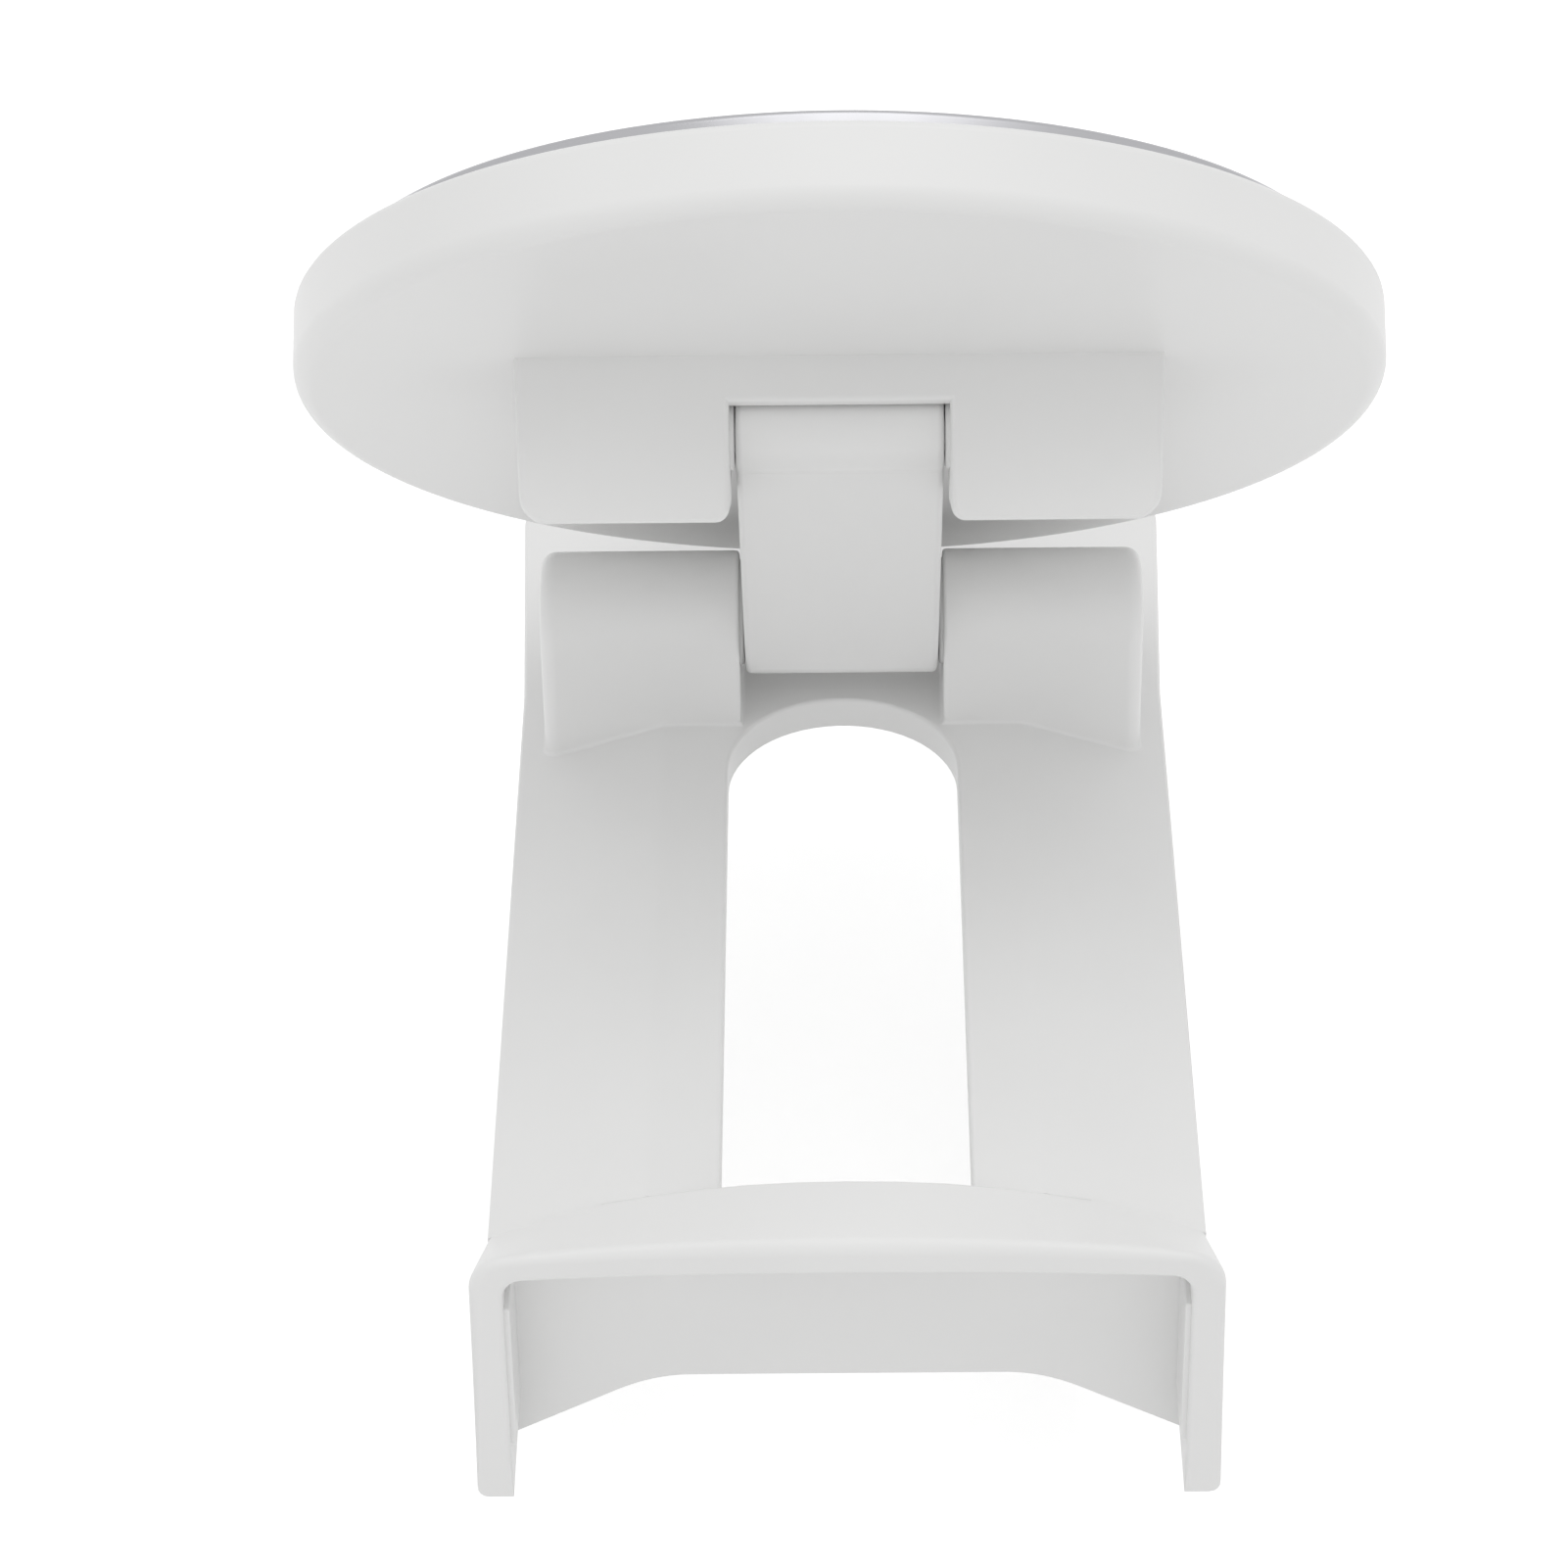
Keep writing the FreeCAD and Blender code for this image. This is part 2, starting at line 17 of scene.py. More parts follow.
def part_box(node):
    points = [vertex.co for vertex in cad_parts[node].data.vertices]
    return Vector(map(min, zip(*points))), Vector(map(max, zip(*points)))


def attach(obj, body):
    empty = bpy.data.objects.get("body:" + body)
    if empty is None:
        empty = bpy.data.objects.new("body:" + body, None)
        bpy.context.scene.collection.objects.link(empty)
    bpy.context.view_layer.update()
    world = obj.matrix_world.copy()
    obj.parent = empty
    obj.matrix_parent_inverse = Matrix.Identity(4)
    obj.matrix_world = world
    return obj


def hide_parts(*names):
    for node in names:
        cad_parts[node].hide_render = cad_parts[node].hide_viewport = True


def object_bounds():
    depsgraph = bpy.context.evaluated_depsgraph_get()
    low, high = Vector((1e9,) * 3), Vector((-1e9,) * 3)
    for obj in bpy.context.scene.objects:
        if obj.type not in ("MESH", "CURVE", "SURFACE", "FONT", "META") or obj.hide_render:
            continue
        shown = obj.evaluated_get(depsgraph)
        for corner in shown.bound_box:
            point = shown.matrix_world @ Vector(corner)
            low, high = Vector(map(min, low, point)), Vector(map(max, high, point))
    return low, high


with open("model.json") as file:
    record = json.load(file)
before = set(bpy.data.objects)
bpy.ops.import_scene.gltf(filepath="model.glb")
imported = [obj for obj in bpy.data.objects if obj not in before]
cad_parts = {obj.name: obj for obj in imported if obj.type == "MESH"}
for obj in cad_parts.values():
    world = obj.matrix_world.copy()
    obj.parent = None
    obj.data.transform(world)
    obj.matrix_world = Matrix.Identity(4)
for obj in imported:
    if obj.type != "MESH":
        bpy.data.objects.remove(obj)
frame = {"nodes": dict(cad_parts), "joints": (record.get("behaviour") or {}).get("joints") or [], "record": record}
CAD_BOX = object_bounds()
MM = 0.001
print("nodes:", sorted(frame["nodes"]))

# %% [markdown]
# ## Frames of the three moving parts
# The clip keeps the frame's own axes. The link and the head lean, so each is drawn in an
# upright frame of its own that sits on its hinge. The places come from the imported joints
# and the head's lean from the normal of its phone face, so no angle is typed twice.

# %% Link and head frames
def joint_place(name):
    """Where a hinge sits at rest, in metres."""
    return Vector(next(joint["pos_m"] for joint in frame["joints"] if joint["name"] == name))


def leaning_frame(place, upward):
    """A frame at a hinge whose Z axis points along a direction in the side view."""
    lean = math.atan2(-upward.y, upward.z)
    return Matrix.Translation(place) @ Matrix.Rotation(lean, 4, "X")


def size_across(node):
    """How wide a CAD node is across the holder, in millimetres."""
    low_corner, high_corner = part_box(node)
    return (high_corner.x - low_corner.x) / MM


lower_pivot = joint_place("lower_hinge")
upper_pivot = joint_place("upper_hinge")
face_mount = next(mount for mount in frame["record"]["mounts"] if mount["name"] == "phone_face")
link_frame = leaning_frame(lower_pivot, upper_pivot - lower_pivot)
head_frame = leaning_frame(upper_pivot, Vector(face_mount["axis"]))
LINK_LENGTH = (upper_pivot - lower_pivot).length / MM
print("link length", round(LINK_LENGTH, 2), "mm")

# %% [markdown]
# ## Helpers for the mouldings
# Every shape is drawn in millimetres and turned into a piece at the end. A piece rides on
# one body and stands for one CAD node. Points on the same spot are welded first, so that
# no face is left without an area. Weighted normals let the large flat faces keep their
# shading, so that only the small rounded edges catch the light.

# %% Helpers
SHARP_ANGLE = math.radians(32)
SAME_SPOT = 0.001
PIN_BORE = 1.29
PIN_SIDES = 24
BORE_REACH = 20.0


def make_piece(shape, name, place, body, node, own_axes=False):
    """Turn a finished shape in millimetres into a piece.

    own_axes is for a finish that follows the shape, such as rings about its middle.
    """
    bmesh.ops.remove_doubles(shape, verts=shape.verts, dist=SAME_SPOT)
    bmesh.ops.recalc_face_normals(shape, faces=shape.faces)
    shape.transform(Matrix.Scale(MM, 4))
    if not own_axes:
        shape.transform(place)
    mesh = bpy.data.meshes.new(name)
    shape.to_mesh(mesh)
    shape.free()
    mesh.shade_smooth()
    mesh.set_sharp_from_angle(angle=SHARP_ANGLE)
    thing = bpy.data.objects.new(name, mesh)
    if own_axes:
        thing.matrix_world = place
    bpy.context.collection.objects.link(thing)
    weighted = thing.modifiers.new("flat_faces_first", "WEIGHTED_NORMAL")
    weighted.keep_sharp = True
    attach(thing, body)
    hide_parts(node)
    print(name, len(mesh.polygons), "faces")
    return thing


def arc(centre, radius, start, end, steps):
    """Points on an arc, angles in degrees, both ends included."""
    turns = [math.radians(start + (end - start) * step / steps) for step in range(steps + 1)]
    return [(centre[0] + radius * math.cos(turn), centre[1] + radius * math.sin(turn)) for turn in turns]


def circle(centre, radius, sides):
    """Points all the way round, with the first one not repeated."""
    return arc(centre, radius, 0, 360 * (sides - 1) / sides, sides - 1)


def lathe(profile, sides, closed=False):
    """Spin a profile of (radius, height) points about Z; an open one gets flat end caps."""
    shape = bmesh.new()
    turns = [2 * math.pi * side / sides for side in range(sides)]
    rings = [
        [shape.verts.new((radius * math.cos(turn), radius * math.sin(turn), height)) for turn in turns]
        for radius, height in profile
    ]
    following = rings[1:] + rings[:1] if closed else rings[1:]
    for near_ring, far_ring in zip(rings, following):
        for side in range(sides):
            after = (side + 1) % sides
            shape.faces.new((near_ring[side], near_ring[after], far_ring[after], far_ring[side]))
    if not closed:
        shape.faces.new(rings[0])
        shape.faces.new(rings[-1])
    return shape


def prism(outline, start, end):
    """Carry an outline of (Y, Z) points along X."""
    shape = bmesh.new()
    near_end = [shape.verts.new((start, y, z)) for y, z in outline]
    far_end = [shape.verts.new((end, y, z)) for y, z in outline]
    count = len(outline)
    for step in range(count):
        after = (step + 1) % count
        shape.faces.new((near_end[step], near_end[after], far_end[after], far_end[step]))
    shape.faces.new(near_end)
    shape.faces.new(far_end)
    bmesh.ops.recalc_face_normals(shape, faces=shape.faces)
    return shape


def pin_bore(centre):
    """A round bar right across the holder, to carve a pin's hole with."""
    return prism(circle(centre, PIN_BORE, PIN_SIDES), -BORE_REACH, BORE_REACH)


def loose_object(shape):
    """A scratch object for carving."""
    mesh = bpy.data.meshes.new("carving")
    shape.to_mesh(mesh)
    shape.free()
    thing = bpy.data.objects.new("carving", mesh)
    bpy.context.collection.objects.link(thing)
    return thing


def carve(shape, cutters):
    """Take each cutter out of a shape and give the carved shape back."""
    blank = loose_object(shape)
    tools = [loose_object(cutter) for cutter in cutters]
    for tool in tools:
        cut = blank.modifiers.new("cut", "BOOLEAN")
        cut.operation = "DIFFERENCE"
        cut.solver = "EXACT"
        cut.object = tool
    bpy.context.view_layer.update()
    settled = blank.evaluated_get(bpy.context.evaluated_depsgraph_get())
    carved = bmesh.new()
    carved.from_mesh(settled.to_mesh())
    settled.to_mesh_clear()
    for scrap in [blank, *tools]:
        scrap_mesh = scrap.data
        bpy.data.objects.remove(scrap)
        bpy.data.meshes.remove(scrap_mesh)
    return carved


def soften(shape, edges, radius, steps=3):
    """Round a set of edges."""
    bmesh.ops.bevel(
        shape, geom=edges, offset=radius, offset_type="OFFSET", affect="EDGES",
        segments=steps, profile=0.5, clamp_overlap=False,
    )


print("helpers ready")

# %% [markdown]
# ## Round back shell
# The white back of the phone rest is a shallow dish, moulded with a soft outer edge and
# turned inwards at the front to hold the metal face. It is round, so it is spun from one
# profile, the way a potter's rib shapes a wheel-thrown plate. The groove for the magnets
# is part of the same profile.

# %% Round back shell
DISC_DROP = 3.6
DISC_BACK = 3.0
DISC_FRONT = 7.5
DISC_ROUND = 1.1
LIP_ROUND = 0.5
FACE_SEAT = 7.0
FACE_RECESS = 27.3
GROOVE = (22.3, 26.1)
GROOVE_FLOOR = 5.3
SHELL_CAP = 4.0
SHELL_MIDDLE = 16.0
SHOULDER_STEPS = 10
LIP_STEPS = 4
DISC_SIDES = 192

disc_radius = size_across("disc_housing") / 2
disc_frame = head_frame @ Matrix.Translation((0, DISC_DROP * MM, 0))
shoulder_centre = (disc_radius - DISC_ROUND, DISC_BACK + DISC_ROUND)
lip_centre = (disc_radius - LIP_ROUND, DISC_FRONT - LIP_ROUND)
groove_inside, groove_outside = GROOVE
shell_profile = [(SHELL_CAP, DISC_BACK), (SHELL_MIDDLE, DISC_BACK)]
shell_profile += arc(shoulder_centre, DISC_ROUND, -90, 0, SHOULDER_STEPS)
shell_profile += arc(lip_centre, LIP_ROUND, 0, 90, LIP_STEPS)
shell_profile += [(FACE_RECESS, DISC_FRONT), (FACE_RECESS, FACE_SEAT)]
shell_profile += [(groove_outside, FACE_SEAT), (groove_outside, GROOVE_FLOOR)]
shell_profile += [(groove_inside, GROOVE_FLOOR), (groove_inside, FACE_SEAT), (SHELL_CAP, FACE_SEAT)]
disc_shell = make_piece(
    lathe(shell_profile, DISC_SIDES), "disc_shell", disc_frame, "head", "disc_housing"
)

# %% [markdown]
# ## Metal face
# A turned steel disc sits in the shell's recess and stands a little proud of its lip. Its
# rim is eased, so that it shows as a thin bright line above the shell from behind.

# %% Metal face
FACE_TOP = 8.7
FACE_EASE = 0.35
FACE_EASE_STEPS = (3, 4)
FACE_CAP = 3.0
FACE_MIDDLE = 18.0

eased_radius = size_across("face_plate") / 2 - FACE_EASE
under_steps, rim_steps = FACE_EASE_STEPS
face_profile = [(FACE_CAP, FACE_SEAT)]
face_profile += arc((eased_radius, FACE_SEAT + FACE_EASE), FACE_EASE, -90, 0, under_steps)
face_profile += arc((eased_radius, FACE_TOP - FACE_EASE), FACE_EASE, 0, 90, rim_steps)
face_profile += [(FACE_MIDDLE, FACE_TOP), (FACE_CAP, FACE_TOP)]
metal_face = make_piece(
    lathe(face_profile, DISC_SIDES),
    "metal_face", disc_frame, "head", "face_plate", own_axes=True,
)

# %% [markdown]
# ## Hinge bracket on the shell's back
# A wedge stands out of the shell's back and carries the upper hinge pin. Its underside
# slopes, its lower corners are round, and a notch in the middle takes the link's end. It
# is drawn as one outline with the notch in it, front and back, and the back outline stops
# short, which gives the slope. Large corners are rounded first and the thin edge radii
# run over them afterwards, in the order a toolmaker would cut them.

# %% Hinge bracket
BRACKET_ROOT = 4.1
BRACKET_TIP = -6.1
BRACKET_BACK_TIP = -3.5
BRACKET_HALF = 17.0
BRACKET_DRAFT = 0.044
BRACKET_FRONT = -3.25
BRACKET_BACK = 3.2
CORNER_ROUND = 1.4
CORNER_ROUND_STEPS = 8
NOTCH_CORNER_ROUND = 0.7
NOTCH_CORNER_STEPS = 6
EDGE_ROUND = 0.3
NOTCH_HALF = 5.75
NOTCH_MOUTH = 0.5
NOTCH_ROUND = 2.6
NOTCH_SIDES = 48
NOTCH_BACK_ROOF = 2.4
CLEAR_OF_ROOT = 0.1
SAME_FACE = 0.01
PAST_BRACKET = 12.0


def bracket_outline(tip):
    """The bracket from behind: two lugs joined above a notch."""
    tip_half = BRACKET_HALF - BRACKET_DRAFT * (BRACKET_ROOT - tip)
    notch_side = [(NOTCH_HALF, NOTCH_MOUTH), (NOTCH_HALF, tip)]
    right_side = notch_side + [(tip_half, tip), (BRACKET_HALF, BRACKET_ROOT)]
    return [(-x, z) for x, z in reversed(right_side)] + right_side


wedge = bmesh.new()
front = [wedge.verts.new((x, BRACKET_FRONT, z)) for x, z in bracket_outline(BRACKET_TIP)]
back = [wedge.verts.new((x, BRACKET_BACK, z)) for x, z in bracket_outline(BRACKET_BACK_TIP)]
for step in range(len(front)):
    after = (step + 1) % len(front)
    wedge.faces.new((front[step], front[after], back[after], back[step]))
wedge.faces.new(front)
wedge.faces.new(back)
bmesh.ops.recalc_face_normals(wedge, faces=wedge.faces)
fore_and_aft = [wedge.edges.get((near_end, far_end)) for near_end, far_end in zip(front, back)]
outer_corners = [fore_and_aft[1], fore_and_aft[6]]
notch_corners = [fore_and_aft[2], fore_and_aft[5]]
soften(wedge, outer_corners, CORNER_ROUND, CORNER_ROUND_STEPS)
soften(wedge, notch_corners, NOTCH_CORNER_ROUND, NOTCH_CORNER_STEPS)


def on_an_outline(edge):
    """An edge of the front or back outline, away from the root buried in the shell."""
    if min(vert.co.z for vert in edge.verts) > BRACKET_ROOT - CLEAR_OF_ROOT:
        return False
    places = [vert.co.y for vert in edge.verts]
    return max(places) < BRACKET_FRONT + SAME_FACE or min(places) > BRACKET_BACK - SAME_FACE


soften(wedge, [edge for edge in wedge.edges if on_an_outline(edge)], EDGE_ROUND)
back_opening = [(0, -PAST_BRACKET), (PAST_BRACKET, -PAST_BRACKET)]
back_opening += [(PAST_BRACKET, NOTCH_BACK_ROOF), (0, NOTCH_BACK_ROOF)]
notch_back = prism(back_opening, -NOTCH_HALF, NOTCH_HALF)
notch_pocket = prism(circle((0, 0), NOTCH_ROUND, NOTCH_SIDES), -NOTCH_HALF, NOTCH_HALF)
hinge_bracket = make_piece(
    carve(wedge, [notch_back, notch_pocket, pin_bore((0, 0))]),
    "hinge_bracket", head_frame, "head", "disc_housing",
)

# %% [markdown]
# ## Hinge bosses
# A thin raised ring round each pin keeps the link centred between its lugs and hides the
# pin in the gap. The rings are spun like the shell, with the profile closed on itself.

# %% Hinge bosses
GAP_LEFT = 0.06
UPPER_BOSS = 2.1
LOWER_BOSS = 3.0
BOSS_SINK = 0.1
BOSS_EASE = 0.08
BOSS_SIDES = 64

link_half = size_across("hinge_link") / 2


def boss(name, side, radius, place, body, node):
    """A ring on one wall of a hinge gap, facing the link."""
    inner, outer = link_half + GAP_LEFT, NOTCH_HALF + BOSS_SINK
    profile = [(PIN_BORE, inner), (radius - BOSS_EASE, inner), (radius, inner + BOSS_EASE)]
    profile += [(radius, outer), (PIN_BORE, outer)]
    turned = place @ Matrix.Rotation(side * math.radians(90), 4, "Y")
    return make_piece(lathe(profile, BOSS_SIDES, closed=True), name, turned, body, node)


bosses = []
lower_place = Matrix.Translation(lower_pivot)
for side, hand in ((-1, "left"), (1, "right")):
    bosses.append(boss("upper_boss_" + hand, side, UPPER_BOSS, head_frame, "head", "disc_housing"))
    bosses.append(boss("lower_boss_" + hand, side, LOWER_BOSS, lower_place, "clip", "base_clip"))

# %% [markdown]
# ## Link
# The bar between the hinges tapers from a thick lower barrel to a thin upper one. Seen
# from the side it is one closed outline, two arcs joined by straight lines, carried
# across the width of the notch. Rounding both side outlines gives the thin bright edges
# that a moulded bar shows, and the two pin bores go in last.

# %% Link
LOWER_BARREL = 3.5
UPPER_BARREL = 2.3
BAR_TOP_HALF = 2.0
LINK_EDGE = 0.35
SQUARE_EDGE = math.radians(80)
LOWER_BARREL_STEPS = 32
UPPER_BARREL_STEPS = 36


def crease_below(draw_in):
    """How far below the upper pivot the bar's drawn-in side meets the upper barrel."""
    square = 1 + draw_in ** 2
    linear = 2 * BAR_TOP_HALF * draw_in
    constant = BAR_TOP_HALF ** 2 - UPPER_BARREL ** 2
    return (-linear + math.sqrt(linear ** 2 - 4 * square * constant)) / (2 * square)


upper_centre = (0, LINK_LENGTH)
crease_drop = crease_below((LOWER_BARREL - BAR_TOP_HALF) / LINK_LENGTH)
crease_turn = math.degrees(math.asin(crease_drop / UPPER_BARREL))
link_outline = arc((0, 0), LOWER_BARREL, 180, 360, LOWER_BARREL_STEPS)
link_outline += arc(upper_centre, UPPER_BARREL, -crease_turn, 180 + crease_turn, UPPER_BARREL_STEPS)
link_bar = prism(link_outline, -link_half, link_half)
soften(link_bar, [edge for edge in link_bar.edges if edge.calc_face_angle() > SQUARE_EDGE], LINK_EDGE)
link = make_piece(
    carve(link_bar, [pin_bore((0, 0)), pin_bore(upper_centre)]),
    "link_bar", link_frame, "link", "hinge_link",
)

# %% [markdown]
# ## Clip body
# The clip is one thin moulding: a crowned plate with a slot, lips along the sides, a web
# across the mouth, two ears for the lower hinge, and a hood. The body's form is already
# right in the solid model, so its surface is taken over up to the hood, cleaned of
# needless triangles, and given what a mould leaves on every corner: a small radius.
# The web's ends are brought flush with the side lips, and the two corners of its lower
# edge become soft bends. Edges beside a narrow strip are left alone, because a radius
# wider than its neighbour would fold over.

# %% Clip body
BODY_END = -22.97
WEB_BACK = -20.5
PLATE_SHOULDER = -0.9
SIDE_WALL = 18.5
ARCH_CORNER = (10.2, -10.5)
ARCH_FOOT = (17.55, -14.5)
ARCH_REACH = 2.0
ARCH_STEPS = 5
ON_ARCH = 0.02
CLIP_EDGE = 0.22
ROOM_PER_EDGE = 2.2
CLEAR_OF_HOOD = 0.1
CORNER_ANGLE = math.radians(40)
FLAT_ANGLE = math.radians(0.4)
SAME_CORNER = 0.002
SLIVER = 0.005


def reach(face, edge):
    """How far a face extends from one of its edges."""
    start, end = (vert.co for vert in edge.verts)
    along = (end - start).normalized()
    return max((vert.co - start - along * (vert.co - start).dot(along)).length for vert in face.verts)


def takes_a_radius(edge):
    """A corner behind the hood, with room on both sides."""
    if max(vert.co.y for vert in edge.verts) < BODY_END + CLEAR_OF_HOOD:
        return False
    if edge.calc_face_angle() < CORNER_ANGLE:
        return False
    return min(reach(face, edge) for face in edge.link_faces) > ROOM_PER_EDGE * CLIP_EDGE


def round_the_arch(shape):
    """Turn the two corners of the web's lower edge into soft bends and count the points moved."""
    corner, top = ARCH_CORNER
    slope = (top - ARCH_FOOT[1]) / (ARCH_FOOT[0] - corner)
    for step in range(-ARCH_STEPS, ARCH_STEPS + 1):
        for side in (-1, 1):
            cut = side * (corner + ARCH_REACH * step / ARCH_STEPS)
            web = {face for face in shape.faces if max(vert.co.y for vert in face.verts) < WEB_BACK}
            edges = {edge for face in web for edge in face.edges}
            corners = {vert for face in web for vert in face.verts}
            bmesh.ops.bisect_plane(
                shape, geom=[*web, *edges, *corners], plane_co=(cut, 0, 0), plane_no=(1, 0, 0)
            )
    moved = 0
    for vert in shape.verts:
        out = abs(vert.co.x) - corner
        straight = top - slope * max(out, 0)
        on_the_arch = vert.co.y < WEB_BACK and abs(vert.co.z - straight) < ON_ARCH
        if on_the_arch and abs(out) < ARCH_REACH:
            vert.co.z = top - slope * (out + ARCH_REACH) ** 2 / (4 * ARCH_REACH)
            moved += 1
    return moved


body_shape = bmesh.new()
body_shape.from_mesh(frame["nodes"]["base_clip"].data)
body_shape.transform(Matrix.Scale(1 / MM, 4))
for vert in body_shape.verts:
    if vert.co.y < WEB_BACK and vert.co.z < PLATE_SHOULDER:
        vert.co.x = min(max(vert.co.x, -SIDE_WALL), SIDE_WALL)
bmesh.ops.remove_doubles(body_shape, verts=body_shape.verts, dist=SAME_CORNER)
bmesh.ops.dissolve_degenerate(body_shape, dist=SLIVER, edges=body_shape.edges)
everything = body_shape.verts[:] + body_shape.edges[:] + body_shape.faces[:]
bmesh.ops.bisect_plane(
    body_shape, geom=everything, plane_co=(0, BODY_END, 0), plane_no=(0, -1, 0), clear_outer=True
)
bmesh.ops.holes_fill(body_shape, edges=[edge for edge in body_shape.edges if edge.is_boundary], sides=0)
print("points moved on the web's arch:", round_the_arch(body_shape))
bmesh.ops.dissolve_limit(body_shape, angle_limit=FLAT_ANGLE, verts=body_shape.verts, edges=body_shape.edges)
soften(body_shape, [edge for edge in body_shape.edges if takes_a_radius(edge)], CLIP_EDGE)
clip_body = make_piece(body_shape, "clip_body", Matrix.Identity(4), "clip", "base_clip")

# %% [markdown]
# ## Hood
# The hood turns down over the mouth and flares towards its open end, so no single outline
# describes it. It is built like a basket: the same number of points in every ring, one
# ring after another from the crest out to the brow, round the brow and back along the
# lining. Pulling the last rings inwards along a quarter circle rolls the brow's edge, and
# because the rings carry the same points the skin between them is all four-sided.

# %% Hood
HOOD_BACK = -22.9
CREST = -23.0
BROW = -27.5
CHEEK_FOOT = -14.9
TIP_ROUND = 0.7
TIP_STEPS = 4
CORNER_STEPS = 8
CORNER_RUN = 3.4
BROW_ROLL = 0.7
CREST_ROLL = 0.3
LINING_ROLL = 0.25
ROLL_STEPS = 6
FOOT_FADE = 3.0
CREST_FADE_START = 1.6
CREST_FADE = 0.8
OUTSIDE_PLACES = (-24.2, -25.2, -26.2)
LINING_PLACES = (-25.5, HOOD_BACK)
TOP_POINTS = 7
CROWN_POWER = 2.3
CREST_OUTSIDE = {"half": 18.48, "shoulder": -0.8, "top": 3.0, "corner": 0.5, "splay": 0.0}
BROW_OUTSIDE = {"half": 19.4, "shoulder": 1.7, "top": 2.5, "corner": 2.4, "splay": 0.15}
CREST_LINING = {"half": 17.55, "shoulder": -2.65, "top": 1.14, "corner": 0.9}
BROW_LINING = {"half": 17.55, "shoulder": 0.25, "top": 0.6, "corner": 1.1}


def fillet(before, corner, after, radius, steps):
    """Points that round the corner between two straight runs."""
    inward, outward = (before - corner).normalized(), (after - corner).normalized()
    half_turn = math.acos(inward.dot(outward)) / 2
    middle = (inward + outward).normalized()
    centre = corner + middle * (radius / math.sin(half_turn))
    facing = math.atan2(-middle.y, -middle.x)
    sweep = math.pi / 2 - half_turn
    if inward.x * outward.y < inward.y * outward.x:
        sweep = -sweep
    turns = [facing + sweep * (1 - 2 * step / steps) for step in range(steps + 1)]
    return [centre + Vector((math.cos(turn), math.sin(turn))) * radius for turn in turns]


def top_run(shape):
    """The crowned top from the middle to just short of the corner."""
    spread = [step / (TOP_POINTS - 1) * (shape["half"] - CORNER_RUN) for step in range(TOP_POINTS)]
    fall = shape["top"] - shape["shoulder"]
    return [Vector((x, shape["top"] - fall * (x / shape["half"]) ** CROWN_POWER)) for x in spread]


def outside_half(shape):
    """One half of the hood's outside, from the top to the rounded foot of the cheek."""
    top = top_run(shape)
    shoulder = Vector((shape["half"], shape["shoulder"]))
    foot = Vector((shape["half"] + shape["splay"], CHEEK_FOOT))
    heel = Vector((CREST_LINING["half"], CHEEK_FOOT))
    bend = fillet(top[-1], shoulder, foot, shape["corner"], CORNER_STEPS)
    return top + bend + fillet(shoulder, foot, heel, TIP_ROUND, TIP_STEPS)


def lining_half(shape):
    """One half of the hood's inside, with as many points as the outside."""
    top = top_run(shape)
    shoulder = Vector((shape["half"], shape["shoulder"]))
    foot = Vector((shape["half"], CHEEK_FOOT))
    bend = fillet(top[-1], shoulder, foot, shape["corner"], CORNER_STEPS)
    tip_points = TIP_STEPS + 1
    return top + bend + [bend[-1].lerp(foot, (step + 1) / tip_points) for step in range(tip_points)]


def both_halves(points):
    """A whole outline from left foot to right foot."""
    return [Vector((-point.x, point.y)) for point in reversed(points[1:])] + points


def between_outlines(first, last, amount):
    """An outline part way between two others."""
    return [a.lerp(b, amount) for a, b in zip(first, last)]


def drawn_in(outline, depth, share):
    """Move an outline towards the mouth, each point by its own share of a depth."""
    moved = []
    for step, point in enumerate(outline):
        run = outline[min(step + 1, len(outline) - 1)] - outline[max(step - 1, 0)]
        moved.append(point + Vector((run.y, -run.x)).normalized() * depth * share(point))
    return moved


def unit(value):
    """Hold a number between nothing and one."""
    return min(max(value, 0), 1)


def fades_at_foot(point):
    """Full along the brow and cheeks, nothing at the foot."""
    return unit((point.y - CHEEK_FOOT) / FOOT_FADE)


def only_on_crest(point):
    """Full where the crest stands above the plate, nothing at its sides."""
    return unit((point.y - CREST_FADE_START) / CREST_FADE)


def ring(outline, y):
    """An outline set at a place along the clip."""
    return [(point.x, y, point.y) for point in outline]


def loft_round(rings):
    """Skin a closed run of rings and cap the two feet."""
    shape = bmesh.new()
    rows = [[shape.verts.new(spot) for spot in spots] for spots in rings]
    for row, after in zip(rows, rows[1:] + rows[:1]):
        for step in range(len(row) - 1):
            shape.faces.new((row[step], row[step + 1], after[step + 1], after[step]))
    shape.faces.new([row[0] for row in rows])
    shape.faces.new([row[-1] for row in rows])
    return shape


outside_ends = [both_halves(outside_half(shape)) for shape in (CREST_OUTSIDE, BROW_OUTSIDE)]
lining_ends = [both_halves(lining_half(shape)) for shape in (CREST_LINING, BROW_LINING)]


def flare(y):
    """How far along the hood a place is: 0 at the crest, 1 at the brow."""
    return unit((CREST - y) / (CREST - BROW))


